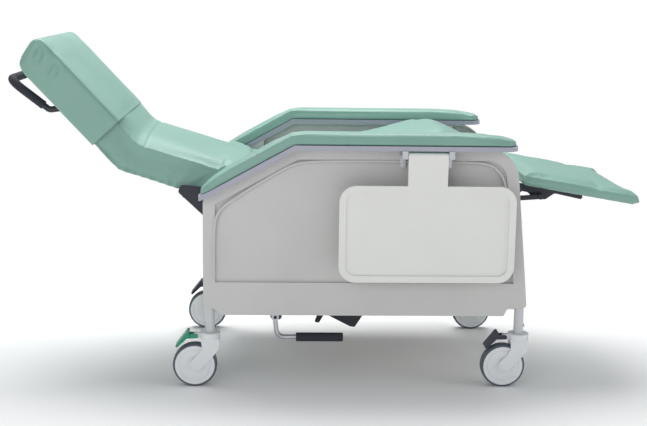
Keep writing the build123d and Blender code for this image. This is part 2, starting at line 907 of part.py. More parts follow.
rod_inside = 100
rod_start = cylinder_length - rod_inside
with BuildPart() as spring_rod:
    with BuildSketch(spring_plane.offset(rod_start)):
        Circle(rod_radius)
    extrude(amount=spring_span - rod_start)
    add(rod_across(spring_pin_x, spring_pin_z, eye_radius, -7, 14))
    add(rod_across(spring_pin_x, spring_pin_z, rod_radius + 2.5, -20, 40), mode=Mode.SUBTRACT)
keep(spring_rod.part, "spring_rod")

# ---- Release lever: bracket, bent tube and ribbed grip -----------------------------------------------
lever_plane = 250
lever_pivot = (lever_tube_x - 4, 190)
lever_radius = 7
grip_z = 129
with BuildPart() as lever_bracket:
    add(
        slab(
            [
                (lever_tube_x - 20, rail_height, 0),
                (lever_tube_x + 20, rail_height, 0),
                (lever_pivot[0] + 18, lever_pivot[1] - 12, 10),
                (lever_pivot[0] - 14, lever_pivot[1] - 12, 10),
            ],
            lever_plane - 15,
            4,
        )
    )
    add(rod_across(*lever_pivot, 5, lever_plane - 13, 24))
    add(rod_across(lever_tube_x, rail_height, cross_radius, 0, panel_face), mode=Mode.SUBTRACT)
    with Locations((lever_tube_x, -lever_plane, rail_height + 50)):
        Box(100, 100, 100, mode=Mode.SUBTRACT)
keep(lever_bracket.part, "lever_bracket")

with BuildPart() as release_lever:
    with BuildLine() as lever_path:
        FilletPolyline(
            (lever_pivot[0], -lever_plane, lever_pivot[1] - 8),
            (lever_pivot[0] + 6, -lever_plane, grip_z),
            (-62, -lever_plane, grip_z),
            radius=[24],
        )
    with BuildSketch(Plane(lever_path.wire() @ 0, z_dir=lever_path.wire() % 0)):
        Circle(lever_radius)
    sweep()
    add(rod_across(*lever_pivot, 11, lever_plane - 9, 18))
    add(rod_across(*lever_pivot, 5 + running_gap, 0, panel_face), mode=Mode.SUBTRACT)
keep(release_lever.part, "release_lever")

with BuildPart() as lever_grip:
    with BuildSketch(Plane(origin=(-198, -lever_plane, grip_z), z_dir=(1, 0, 0))):
        Circle(13)
    extrude(amount=138)
    fillet(lever_grip.edges().filter_by(GeomType.CIRCLE), 3)
    with BuildSketch(Plane(origin=(-199, -lever_plane, grip_z), z_dir=(1, 0, 0))):
        Circle(lever_radius)
    extrude(amount=137, mode=Mode.SUBTRACT)
keep(lever_grip.part, "lever_grip")

# ---- Latch plate and its short lever, under the middle of the seat -----------------------------------
plate_y = 150
with BuildPart() as latch_plate:
    add(
        slab(
            [
                (spring_tube_x - 16, rail_height, 0),
                (spring_tube_x + 16, rail_height, 0),
                (spring_tube_x + 12, 206, 8),
                (16, 188, 6),
                (-20, 132, 6),
                (-34, 134, 4),
                (-123, 180, 6),
                (-128, 196, 6),
                (-60, 218, 20),
            ],
            plate_y,
            5,
        )
    )
    add(rod_across(spring_tube_x, rail_height, cross_radius, 0, panel_face), mode=Mode.SUBTRACT)
    with Locations((spring_tube_x, -plate_y, rail_height + 50)):
        Box(100, 100, 100, mode=Mode.SUBTRACT)
    add(rod_across(-116, 190, 4, plate_y + 5, 12))
keep(latch_plate.part, "latch_plate")

with BuildPart() as latch_lever:
    add(
        slab(
            [
                (-126, 198, 8),
                (-106, 198, 8),
                (-108, 182, 6),
                (-128, 148, 4),
                (-142, 150, 4),
                (-128, 184, 6),
            ],
            plate_y + 6,
            8,
        )
    )
    add(rod_across(-116, 190, 4 + running_gap, 0, panel_face), mode=Mode.SUBTRACT)
keep(latch_lever.part, "latch_lever")

# ---- Casters: fork, wheel, tyre and brake pedal at each corner ----------------------------------------
arm_gap = 1.5
fork_arm = 5
fork_inner = wheel_width / 2 + arm_gap
pedal_pivot = (-40, 149)
for end, x in (("front", half_base), ("rear", -half_base)):
    for side, y in (("right", half_track), ("left", -half_track)):
        corner = f"{end}_{side}"
        axle_x = x - caster_trail

        with BuildPart() as caster_fork:
            with BuildSketch(Plane.XY.offset(ring_bottom)):
                with Locations((x, -y)):
                    Circle(ring_radius)
            extrude(amount=ring_top - ring_bottom)
            with BuildSketch(Plane.XY.offset(ring_top)):
                with Locations((x, -y)):
                    Circle(stem_radius)
            extrude(amount=60)
            fork_corners = [
                (x - 25, ring_bottom + 1, 0),
                (x + 28, ring_bottom + 1, 0),
                (x + 26, 114, 16),
                (x + 4, 84, 16),
                (axle_x + 12, wheel_radius - 17, 14),
                (axle_x - 18, wheel_radius + 6, 14),
                (x - 32, 98, 10),
                (x - 22, 116, 6),
            ]
            add(slab(fork_corners, y - fork_inner - fork_arm, fork_arm))
            add(slab(fork_corners, y + fork_inner, fork_arm))
            crown = [
                (x - 22, 130, 0),
                (x + 27, 130, 0),
                (x + 27, ring_bottom + 1, 0),
                (x - 22, ring_bottom + 1, 0),
            ]
            add(slab(crown, y - fork_inner - 1, 2 * fork_inner + 2))
            lug_corners = [
                (x - 47, 143, 0),
                (x - 26, ring_bottom, 0),
                (x - 26, ring_top - 2, 0),
                (x - 47, ring_top - 4, 5),
            ]
            add(slab(lug_corners, y - 9, 18))
            add(rod_across(axle_x, wheel_radius, axle_radius, y - 40, 80), mode=Mode.SUBTRACT)
            add(
                rod_across(x + pedal_pivot[0], pedal_pivot[1], 3 + running_gap, y - 40, 80),
                mode=Mode.SUBTRACT,
            )
            axle_half = fork_inner + fork_arm
            add(rod_across(axle_x, wheel_radius, axle_radius, y - axle_half, 2 * axle_half))
        keep(caster_fork.part, f"caster_fork_{corner}")

        with BuildPart() as wheel:
            add(rod_across(axle_x, wheel_radius, rim_radius, y - wheel_width / 2 + 2, wheel_width - 4))
            add(rod_across(axle_x, wheel_radius, 13, y - wheel_width / 2 - 1, wheel_width + 2))
            add(
                rod_across(axle_x, wheel_radius, axle_radius + running_gap, y - 40, 80),
                mode=Mode.SUBTRACT,
            )
        keep(wheel.part, f"wheel_{corner}")

        with BuildPart() as tyre:
            add(rod_across(axle_x, wheel_radius, wheel_radius, y - wheel_width / 2, wheel_width))
            fillet(tyre.edges().filter_by(GeomType.CIRCLE), 6)
            add(rod_across(axle_x, wheel_radius, rim_radius, y - 40, 80), mode=Mode.SUBTRACT)
        keep(tyre.part, f"tyre_{corner}")

        with BuildPart() as pedal:
            blade = [
                (x - 58, 168, 3),
                (x - 67, 162, 3),
                (x - 99, 121, 3),
                (x - 94, 116, 3),
                (x - 73, 136, 4),
                (x - 60, 149, 4),
            ]
            add(slab(blade, y - 20, 40))
            for cheek in (y - 14, y + 9.5):
                cheek_corners = [
                    (x + pedal_pivot[0] + 6, pedal_pivot[1] - 6, 5),
                    (x + pedal_pivot[0] + 6, pedal_pivot[1] + 6, 5),
                    (x - 62, 155, 0),
                    (x - 70, 142, 0),
                ]
                add(slab(cheek_corners, cheek, 4.5))
            add(rod_across(x + pedal_pivot[0], pedal_pivot[1], 3, y - 14, 28))
        keep(pedal.part, f"brake_pedal_{corner}")

# ---- Origin: on the floor, under the middle of the whole chair ----------------------------------------
x_low = min(part.bounding_box().min.X for part in pieces.values())
x_high = max(part.bounding_box().max.X for part in pieces.values())
centre = Location((-(x_low + x_high) / 2, 0, 0))
os.makedirs("parts", exist_ok=True)
for name, part in pieces.items():
    placed = part.moved(centre)
    placed.label = name
    export_step(placed, f"parts/{name}.step")
print("moved along X by", -(x_low + x_high) / 2)
print("gas spring angle", spring_angle, "span", spring_span)
print("drive bar angle", bar_angle, "length", drive_length)
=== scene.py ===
"""Reclining patient chair, laid back with its footrest up: its surface finishes and its soft pieces."""

import json
import math

import bpy
from mathutils import Matrix, Vector


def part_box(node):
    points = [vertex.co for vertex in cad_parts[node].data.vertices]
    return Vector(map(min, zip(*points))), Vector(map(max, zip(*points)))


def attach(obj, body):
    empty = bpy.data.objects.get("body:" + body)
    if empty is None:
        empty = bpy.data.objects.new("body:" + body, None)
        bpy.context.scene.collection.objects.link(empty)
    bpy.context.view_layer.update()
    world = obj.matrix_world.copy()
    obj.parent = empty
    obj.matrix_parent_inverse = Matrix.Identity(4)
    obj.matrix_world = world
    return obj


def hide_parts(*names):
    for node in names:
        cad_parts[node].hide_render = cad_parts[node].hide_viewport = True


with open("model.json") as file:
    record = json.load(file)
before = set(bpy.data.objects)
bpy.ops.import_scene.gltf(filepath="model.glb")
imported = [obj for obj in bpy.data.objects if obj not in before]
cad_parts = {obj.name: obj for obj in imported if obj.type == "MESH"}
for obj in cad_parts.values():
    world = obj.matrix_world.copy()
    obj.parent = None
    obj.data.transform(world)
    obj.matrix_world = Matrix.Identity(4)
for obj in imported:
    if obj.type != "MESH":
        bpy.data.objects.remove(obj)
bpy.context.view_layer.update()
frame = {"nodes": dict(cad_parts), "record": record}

scene = bpy.context.scene
bpy.ops.object.select_all(action="DESELECT")


# ---- Studio ------------------------------------------------------------------------------------------
# A pale sweep of floor under large soft lights: one overhead and a little behind the chair, one low and
# wide on the near side, and a weak one from the foot end.

def aim(thing, place, target):
    """Sets a light down and points it at its target."""
    thing.location = place
    thing.rotation_euler = (Vector(target) - Vector(place)).to_track_quat("-Z", "Y").to_euler()


def softbox(name, place, target, width, depth, power):
    bpy.ops.object.light_add(type="AREA")
    lamp = bpy.context.object
    lamp.name = name
    lamp.data.shape = "RECTANGLE"
    lamp.data.size = width
    lamp.data.size_y = depth
    lamp.data.energy = power
    aim(lamp, place, target)


softbox("overhead softbox", (-0.3, 1.1, 3.3), (0.0, 0.0, 0.5), 3.2, 2.4, 125)
softbox("near side softbox", (-1.3, -3.3, 1.5), (0.1, 0.0, 0.4), 2.6, 1.4, 24)
softbox("foot end softbox", (3.4, -1.2, 2.0), (0.4, 0.0, 0.4), 1.6, 1.6, 16)

yaw = math.radians(2.068)
pitch = math.radians(10.64)
roll = 0.0139
ahead = Vector((math.sin(yaw) * math.cos(pitch), math.cos(yaw) * math.cos(pitch), -math.sin(pitch)))
level = Vector((math.cos(yaw), -math.sin(yaw), 0.0))
rise = level.cross(ahead)
across = math.cos(roll) * level + math.sin(roll) * rise
upward = math.cos(roll) * rise - math.sin(roll) * level
bpy.ops.object.camera_add()
camera = bpy.context.object
camera.name = "camera"
camera.data.lens = 67.05
camera.data.sensor_width = 36.0
turned = Matrix((across, upward, -ahead)).transposed().to_4x4()
camera.matrix_world = Matrix.Translation((-0.13275, -3.6574, 1.1397)) @ turned
scene.camera = camera

bpy.ops.mesh.primitive_plane_add(size=60.0, location=(0.0, 0.0, 0.0))
floor = bpy.context.object
floor.name = "floor"
floor_paint = bpy.data.materials.new("pale floor")
floor_paint.use_nodes = True
nodes = floor_paint.node_tree.nodes
links = floor_paint.node_tree.links
nodes["Principled BSDF"].inputs["Base Color"].default_value = (0.93, 0.93, 0.93, 1.0)
nodes["Principled BSDF"].inputs["Roughness"].default_value = 0.75
nodes["Principled BSDF"].inputs["Specular IOR Level"].default_value = 0.15
place = nodes.new("ShaderNodeTexCoord")
spread = nodes.new("ShaderNodeVectorMath")
spread.operation = "LENGTH"
squashed = nodes.new("ShaderNodeMapping")
squashed.vector_type = "POINT"
squashed.inputs["Scale"].default_value = (0.62, 1.0, 1.0)
fade = nodes.new("ShaderNodeMapRange")
fade.interpolation_type = "SMOOTHSTEP"
fade.inputs["From Min"].default_value = 0.45
fade.inputs["From Max"].default_value = 1.35
glow = nodes.new("ShaderNodeEmission")
mixed = nodes.new("ShaderNodeMixShader")
links.new(place.outputs["Object"], squashed.inputs["Vector"])
links.new(squashed.outputs["Vector"], spread.inputs[0])
links.new(spread.outputs["Value"], fade.inputs["Value"])
links.new(fade.outputs["Result"], mixed.inputs["Fac"])
links.new(nodes["Principled BSDF"].outputs["BSDF"], mixed.inputs[1])
links.new(glow.outputs["Emission"], mixed.inputs[2])
links.new(mixed.outputs["Shader"], nodes["Material Output"].inputs["Surface"])
floor.data.materials.append(floor_paint)

world = bpy.data.worlds.new("studio")
scene.world = world
world.use_nodes = True
nodes = world.node_tree.nodes
links = world.node_tree.links
nodes.clear()
dim = nodes.new("ShaderNodeBackground")
dim.inputs["Color"].default_value = (0.93, 0.96, 1.0, 1.0)
dim.inputs["Strength"].default_value = 0.42
white = nodes.new("ShaderNodeBackground")
white.inputs["Color"].default_value = (1.0, 1.0, 1.0, 1.0)
white.inputs["Strength"].default_value = 1.0
seen = nodes.new("ShaderNodeLightPath")
pick = nodes.new("ShaderNodeMixShader")
out = nodes.new("ShaderNodeOutputWorld")
links.new(seen.outputs["Is Camera Ray"], pick.inputs["Fac"])
links.new(dim.outputs["Background"], pick.inputs[1])
links.new(white.outputs["Background"], pick.inputs[2])
links.new(pick.outputs["Shader"], out.inputs["Surface"])
scene.render.engine = "CYCLES"
scene.view_settings.view_transform = "Standard"


# ---- Finishes ----------------------------------------------------------------------------------------
# Coated upholstery with a fine leather grain, moulded plastics with a spark-eroded grain, powder coat,
# zinc plate, closed-cell foam, rubber, raw plywood and a polished rod.

def new_group(name, wants, gives):
    group = bpy.data.node_groups.new(name, "ShaderNodeTree")
    for label, kind, value in wants:
        socket = group.interface.new_socket(label, in_out="INPUT", socket_type=kind)
        socket.default_value = value
    for label, kind in gives:
        group.interface.new_socket(label, in_out="OUTPUT", socket_type=kind)
    return group, group.nodes.new("NodeGroupInput"), group.nodes.new("NodeGroupOutput")


# uneven colour: broad clouds between a light and a dark tone, broken up by fine specks
drift, taken, given = new_group(
    "colour drift",
    [
        ("Light", "NodeSocketColor", (0.8, 0.8, 0.8, 1.0)),
        ("Dark", "NodeSocketColor", (0.6, 0.6, 0.6, 1.0)),
        ("Scale", "NodeSocketFloat", 6.0),
    ],
    [("Colour", "NodeSocketColor"), ("Mask", "NodeSocketFloat")],
)
place = drift.nodes.new("ShaderNodeTexCoord")
clouds = drift.nodes.new("ShaderNodeTexNoise")
clouds.inputs["Detail"].default_value = 5.0
clouds.inputs["Roughness"].default_value = 0.62
blend_tones = drift.nodes.new("ShaderNodeMix")
blend_tones.data_type = "RGBA"
shape = drift.nodes.new("ShaderNodeMapRange")
shape.inputs["From Min"].default_value = 0.3
shape.inputs["From Max"].default_value = 0.7
drift.links.new(place.outputs["Object"], clouds.inputs["Vector"])
drift.links.new(taken.outputs["Scale"], clouds.inputs["Scale"])
drift.links.new(clouds.outputs["Fac"], shape.inputs["Value"])
drift.links.new(shape.outputs["Result"], blend_tones.inputs["Factor"])
drift.links.new(taken.outputs["Dark"], blend_tones.inputs["A"])
drift.links.new(taken.outputs["Light"], blend_tones.inputs["B"])
drift.links.new(blend_tones.outputs["Result"], given.inputs["Colour"])
drift.links.new(shape.outputs["Result"], given.inputs["Mask"])

# pebbled skin: cells with creases between them, over a slow unevenness
skin, taken, given = new_group(
    "pebbled skin",
    [
        ("Scale", "NodeSocketFloat", 700.0),
        ("Creases", "NodeSocketFloat", 0.6),
    ],
    [("Height", "NodeSocketFloat")],
)
place = skin.nodes.new("ShaderNodeTexCoord")
cells = skin.nodes.new("ShaderNodeTexVoronoi")
cells.feature = "SMOOTH_F1"
fine = skin.nodes.new("ShaderNodeTexNoise")
fine.inputs["Detail"].default_value = 3.0
half = skin.nodes.new("ShaderNodeMath")
half.operation = "MULTIPLY"
half.inputs[1].default_value = 0.5
join = skin.nodes.new("ShaderNodeMix")
join.data_type = "FLOAT"
skin.links.new(place.outputs["Object"], cells.inputs["Vector"])
skin.links.new(place.outputs["Object"], fine.inputs["Vector"])
skin.links.new(taken.outputs["Scale"], cells.inputs["Scale"])
skin.links.new(taken.outputs["Scale"], half.inputs[0])
skin.links.new(half.outputs["Value"], fine.inputs["Scale"])
skin.links.new(taken.outputs["Creases"], join.inputs["Factor"])
skin.links.new(fine.outputs["Fac"], join.inputs["A"])
skin.links.new(cells.outputs["Distance"], join.inputs["B"])
skin.links.new(join.outputs["Result"], given.inputs["Height"])


def finish(
    name, light, dark, roughness, uneven, grain, depth, creases, metallic=0.0, coat=0.0, tone_scale=6.0
):
    """A material whose tone, shine and surface all vary a little over the piece."""
    made = bpy.data.materials.new(name)
    made.use_nodes = True
    nodes = made.node_tree.nodes
    links = made.node_tree.links
    shader = nodes["Principled BSDF"]
    shader.inputs["Metallic"].default_value = metallic
    shader.inputs["Coat Weight"].default_value = coat
    shader.inputs["Coat Roughness"].default_value = 0.25
    tones = nodes.new("ShaderNodeGroup")
    tones.node_tree = drift
    tones.inputs["Light"].default_value = (*light, 1.0)
    tones.inputs["Dark"].default_value = (*dark, 1.0)
    tones.inputs["Scale"].default_value = tone_scale
    shine = nodes.new("ShaderNodeMapRange")
    shine.inputs["To Min"].default_value = roughness - uneven
    shine.inputs["To Max"].default_value = roughness + uneven
    surface = nodes.new("ShaderNodeGroup")
    surface.node_tree = skin
    surface.inputs["Scale"].default_value = grain
    surface.inputs["Creases"].default_value = creases
    bump = nodes.new("ShaderNodeBump")
    bump.inputs["Strength"].default_value = 1.0
    bump.inputs["Distance"].default_value = depth
    links.new(tones.outputs["Colour"], shader.inputs["Base Color"])
    links.new(tones.outputs["Mask"], shine.inputs["Value"])
    links.new(shine.outputs["Result"], shader.inputs["Roughness"])
    links.new(surface.outputs["Height"], bump.inputs["Height"])
    links.new(bump.outputs["Normal"], shader.inputs["Normal"])
    return made


finishes = {
    "vinyl": finish(
        "coated upholstery", (0.235, 0.415, 0.355), (0.21, 0.38, 0.32),
        0.47, 0.05, 620.0, 0.00022, 0.75,
    ),
    "panel_plastic": finish(
        "panel plastic", (0.60, 0.595, 0.585), (0.565, 0.56, 0.55),
        0.52, 0.05, 900.0, 0.00010, 0.4,
    ),
    "arm_channel_plastic": finish(
        "arm channel plastic", (0.40, 0.405, 0.48), (0.36, 0.365, 0.44),
        0.42, 0.05, 800.0, 0.00008, 0.4,
    ),
    "tray_plastic": finish(
        "tray plastic", (0.78, 0.785, 0.755), (0.75, 0.755, 0.725),
        0.46, 0.05, 700.0, 0.00012, 0.35,
    ),
    "caster_plastic": finish(
        "caster nylon", (0.80, 0.815, 0.83), (0.76, 0.775, 0.79),
        0.33, 0.05, 500.0, 0.00006, 0.2,
    ),
    "caster_tyre": finish(
        "tyre rubber", (0.10, 0.125, 0.155), (0.075, 0.095, 0.12),
        0.55, 0.08, 260.0, 0.00015, 0.3,
    ),
    "pedal_green": finish(
        "green pedal plastic", (0.03, 0.31, 0.18), (0.022, 0.26, 0.15),
        0.38, 0.05, 600.0, 0.00008, 0.4,
    ),
    "pedal_black": finish(
        "black pedal plastic", (0.030, 0.036, 0.052), (0.022, 0.027, 0.040),
        0.42, 0.06, 600.0, 0.00010, 0.4,
    ),
    "frame_steel": finish(
        "powder coated steel", (0.62, 0.635, 0.65), (0.57, 0.585, 0.60),
        0.38, 0.06, 420.0, 0.00008, 0.3, 0.0, 0.2,
    ),
    "black_steel": finish(
        "black powder coat", (0.022, 0.026, 0.038), (0.016, 0.019, 0.029),
        0.44, 0.07, 420.0, 0.00010, 0.3,
    ),
    "black_foam": finish(
        "closed-cell foam", (0.030, 0.033, 0.046), (0.020, 0.022, 0.032),
        0.82, 0.08, 520.0, 0.00035, 0.55,
    ),
    "zinc_steel": finish(
        "zinc plate", (0.60, 0.615, 0.64), (0.48, 0.495, 0.53),
        0.34, 0.10, 300.0, 0.00004, 0.2, 0.9, 0.0, 30.0,
    ),
    "plywood": finish(
        "raw plywood", (0.56, 0.42, 0.27), (0.44, 0.31, 0.18),
        0.72, 0.08, 240.0, 0.00020, 0.2, 0.0, 0.0, 14.0,
    ),
    "chrome_rod": finish(
        "polished rod", (0.82, 0.83, 0.85), (0.76, 0.77, 0.79),
        0.12, 0.04, 200.0, 0.00001, 0.2, 1.0, 0.0, 20.0,
    ),
}
vinyl = finishes["vinyl"]

# every carried-over piece takes the finish of its own slot
slot_of = {item["node"]: item["material_slot"] for item in frame["record"]["subparts"]}
for name, node in frame["nodes"].items():
    node.data.materials.clear()
    node.data.materials.append(finishes[slot_of[name]])


# ---- Back upholstery ---------------------------------------------------------------------------------
# One vinyl cover over the foam, the board and the rear shell of the back, full where it meets the head
# cover, slack and wrinkled where it folds down between the arms, with one seam straight across.

def take_shape(parts, name, voxel, inset, free=None):
    """One cover over the solids of its foam and boards, evenly meshed and drawn in to leave room to swell."""
    bpy.ops.object.select_all(action="DESELECT")
    for part in parts:
        piece = bpy.data.objects.new(name, frame["nodes"][part].data.copy())
        scene.collection.objects.link(piece)
        bpy.context.view_layer.objects.active = piece
        piece.select_set(True)
    if len(parts) > 1:
        bpy.ops.object.join()
        piece = bpy.context.view_layer.objects.active
    piece.name = name
    bpy.ops.object.mode_set(mode="EDIT")
    bpy.ops.mesh.select_all(action="SELECT")
    bpy.ops.mesh.remove_doubles(threshold=0.00002)
    bpy.ops.mesh.normals_make_consistent(inside=False)
    bpy.ops.object.mode_set(mode="OBJECT")
    even(piece, voxel)
    draw_in = piece.modifiers.new("draw in", "DISPLACE")
    if free:
        moved = piece.vertex_groups.new(name="moved")
        for v in piece.data.vertices:
            if free(v.co):
                moved.add([v.index], 1.0, "REPLACE")
        draw_in.vertex_group = "moved"
    draw_in.strength = -inset
    draw_in.mid_level = 0.0
    bpy.ops.object.modifier_apply(modifier="draw in")
    piece.data.materials.clear()
    piece.data.materials.append(vinyl)
    return piece


swelling_frames = 20


def even(piece, voxel):
    """Gives a piece an even mesh and takes the hard corners off it."""
    bpy.context.view_layer.objects.active = piece
    weave = piece.modifiers.new("even mesh", "REMESH")
    weave.mode = "VOXEL"
    weave.voxel_size = voxel
    bpy.ops.object.modifier_apply(modifier="even mesh")
    ease = piece.modifiers.new("ease", "SMOOTH")
    ease.factor = 0.5
    ease.iterations = 2
    bpy.ops.object.modifier_apply(modifier="ease")


def stuff(piece, pressure, cap, held, loose=None, slack=0.0):
    """Fills a cover: it swells under pressure, stays put where held, and has spare cloth where loose."""
    start = [v.co.copy() for v in piece.data.vertices]
    fixed = piece.vertex_groups.new(name="held")
    for v in piece.data.vertices:
        grip = held(v.co)
        if grip > 0.0:
            fixed.add([v.index], grip, "REPLACE")
    if loose:
        spare = piece.vertex_groups.new(name="loose")
        for v in piece.data.vertices:
            give = loose(v.co)
            if give > 0.0:
                spare.add([v.index], give, "REPLACE")
    cloth = piece.modifiers.new("filling", "CLOTH")
    cloth.settings.quality = 6
    cloth.settings.use_pressure = True
    cloth.settings.uniform_pressure_force = pressure
    cloth.settings.effector_weights.gravity = 0.0
    cloth.settings.tension_stiffness = 18.0
    cloth.settings.bending_stiffness = 0.6
    cloth.collision_settings.use_collision = False
    cloth.settings.vertex_group_mass = "held"
    if loose:
        cloth.settings.vertex_group_shrink = "loose"
        cloth.settings.shrink_min = 0.0
        cloth.settings.shrink_max = -slack
    cloth.point_cache.frame_start = 1
    cloth.point_cache.frame_end = swelling_frames
    for step in range(1, swelling_frames + 1):
        scene.frame_set(step)
    bpy.context.view_layer.objects.active = piece
    bpy.ops.object.modifier_apply(modifier="filling")
    scene.frame_set(1)
    for v, was in zip(piece.data.vertices, start):
        move = v.co - was
        if move.length > cap:
            v.co = was + move * (cap / move.length)
    piece.vertex_groups.clear()
    ease = piece.modifiers.new("ease", "SMOOTH")
    ease.factor = 0.5
    ease.iterations = 3
    bpy.context.view_layer.objects.active = piece
    bpy.ops.object.modifier_apply(modifier="ease")


def finer(piece):
    """One more subdivision, and smooth shading."""
    bpy.context.view_layer.objects.active = piece
    divide = piece.modifiers.new("finer", "SUBSURF")
    divide.levels = 1
    divide.render_levels = 1
    bpy.ops.object.modifier_apply(modifier="finer")
    for face in piece.data.polygons:
        face.use_smooth = True


def bell(distance, width):
    """1 on a line and falling to nothing over about twice the width."""
    return math.exp(-(distance / width) ** 2)


bolt_low, bolt_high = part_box("pivot_bolts")
pivot = Vector(((bolt_low.x + bolt_high.x) / 2, 0.0, (bolt_low.z + bolt_high.z) / 2))
lower_slope = math.radians(17.5)
upper_slope = math.radians(47.2)
lower_way = Vector((-math.cos(lower_slope), 0.0, math.sin(lower_slope)))
upper_way = Vector((-math.cos(upper_slope), 0.0, math.sin(upper_slope)))
lower_out = Vector((math.sin(lower_slope), 0.0, math.cos(lower_slope)))
upper_out = Vector((math.sin(upper_slope), 0.0, math.cos(upper_slope)))
bend_length = 0.362
bend = pivot + lower_way * bend_length


def on_back(p):
    """How far along the back a point is from the pivot, and how far out in front of its middle line."""
    lower = (p - pivot).dot(lower_way)
    upper = (p - bend).dot(upper_way)
    if upper > 0.0 and lower > bend_length:
        return bend_length + upper, (p - bend).dot(upper_out)
    return lower, (p - pivot).dot(lower_out)


board_depth = -0.050
under_cover = 0.50
seam_along = 0.325
fold_along = 0.17
fold_reach = 0.07
back_half = 0.265
side_drop = 0.020
tucked_from = 0.40
tucked_share = 0.985


def back_held(p):
    along, out = on_back(p)
    return 1.0 if out < board_depth or along < 0.02 or along > under_cover else 0.0


def pulled(piece, a, b, depth, width):
    """A fold: the cover is drawn in along a line, and stands up a little on both sides of it."""
    start, end = Vector(a), Vector(b)
    run = end - start
    normals = [v.normal.copy() for v in piece.data.vertices]
    for v, normal in zip(piece.data.vertices, normals):
        share = (v.co - start).dot(run) / run.length_squared
        share = min(1.0, max(0.0, share))
        gap = (v.co - start - run * share).length
        if gap < width * 5.0:
            fade = math.sin(math.pi * (0.12 + 0.76 * share))
            v.co -= normal * (depth * fade * (bell(gap, width) - 0.45 * bell(gap - 1.9 * width, width)))


def back_loose(p):
    along, out = on_back(p)
    return bell(along - fold_along, fold_reach) * (1.0 if out > -0.02 else 0.0)


back_parts = ["back_cushion", "head_cushion", "back_board", "back_rear_cover"]
back = take_shape(back_parts, "back_upholstery", 0.0075, 0.007, lambda p: back_held(p) == 0.0)
for v in back.data.vertices:
    along, out = on_back(v.co)
    if out > 0.0 and along > 0.1:
        v.co -= lower_out * (side_drop * (abs(v.co.y) / back_half) ** 3 * min(1.0, out / 0.04))
    if along > tucked_from:
        v.co.y *= tucked_share
stuff(back, 5.0, 0.014, back_held, back_loose, 0.20)
finer(back)
for v in back.data.vertices:
    along, out = on_back(v.co)
    if out > 0.0:
        v.co -= lower_out * (0.0024 * bell(along - seam_along, 0.0045))
for side in (-1, 1):
    wall = side * 0.262
    pulled(back, (-0.415, wall, 0.658), (-0.318, wall, 0.650), 0.0065, 0.009)
    pulled(back, (-0.329, wall, 0.657), (-0.384, wall, 0.630), 0.0060, 0.009)
    pulled(back, (-0.313, wall, 0.622), (-0.376, wall, 0.576), 0.0060, 0.010)
    pulled(back, (-0.400, wall, 0.640), (-0.440, wall, 0.600), 0.0035, 0.012)
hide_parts(*back_parts)
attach(back, "back")


# ---- Head cover --------------------------------------------------------------------------------------
# A slip cover pulled down over the head end of the back, boxed, piped along both front edges, open at
# its hem. It covers the foam, the board and the rear cover.

back_end = bend_length + 0.383
hem = back_end - 0.298
cover_wall = 0.003

bpy.ops.object.select_all(action="DESELECT")
bpy.ops.mesh.primitive_cube_add(size=1.0)
cover = bpy.context.object
cover.name = "head_cover"
ends = {
    (-1, 1): upper_way * (hem - 0.02 - bend_length) + upper_out * 0.0450,
    (-1, -1): upper_way * (hem - 0.02 - bend_length) - upper_out * 0.0620,
    (1, 1): upper_way * (back_end + 0.034 - bend_length) + upper_out * 0.0420,
    (1, -1): upper_way * (back_end + 0.008 - bend_length) - upper_out * 0.0620,
}
for v in cover.data.vertices:
    along_end = 1 if v.co.x > 0 else -1
    face = 1 if v.co.z > 0 else -1
    side = 1 if v.co.y > 0 else -1
    corner = bend + ends[(along_end, face)]
    v.co = Vector((corner.x, side * (back_half + 0.004), corner.z))
bpy.ops.object.mode_set(mode="EDIT")
bpy.ops.mesh.select_all(action="SELECT")
bpy.ops.mesh.normals_make_consistent(inside=False)
bpy.ops.object.mode_set(mode="OBJECT")

# the long corners are turned tightly under the piping, the head end is turned more softly
round_over = cover.modifiers.new("turned corners", "BEVEL")
round_over.limit_method = "WEIGHT"
round_over.width = 0.034
round_over.segments = 6
weights = cover.data.attributes.new("bevel_weight_edge", "FLOAT", "EDGE")
for edge in cover.data.edges:
    a, b = (cover.data.vertices[i].co for i in edge.vertices)
    mid_along, mid_out = on_back((a + b) / 2)
    if mid_along > back_end - 0.02 and abs(a.y - b.y) > 0.1:
        weights.data[edge.index].value = 1.0 if mid_out > 0.0 else 0.9
    elif abs(a.y - b.y) < 0.01 and mid_along < back_end - 0.02:
        weights.data[edge.index].value = 0.22
    elif mid_along > back_end - 0.02:
        weights.data[edge.index].value = 0.45
bpy.ops.object.modifier_apply(modifier="turned corners")
even(cover, 0.0075)
for v in cover.data.vertices:
    along, out = on_back(v.co)
    if out > 0.0:
        crown = 0.020 * (1.0 - (abs(v.co.y) / (back_half + 0.004)) ** 2.6) * min(1.0, out / 0.035)
        v.co += upper_out * crown * min(1.0, (back_end + 0.05 - along) / 0.10)


def cover_held(p):
    along, out = on_back(p)
    edge = 1.0 if out > 0.022 and abs(p.y) > back_half - 0.012 and along < back_end - 0.02 else 0.0
    ends_here = 1.0 if along < hem + 0.012 or out < -0.05 else 0.0
    return max(edge * 0.9, ends_here)


def cover_loose(p):
    along, out = on_back(p)
    return bell(along - (back_end - 0.07), 0.07) * bell(abs(p.y) - back_half, 0.06)


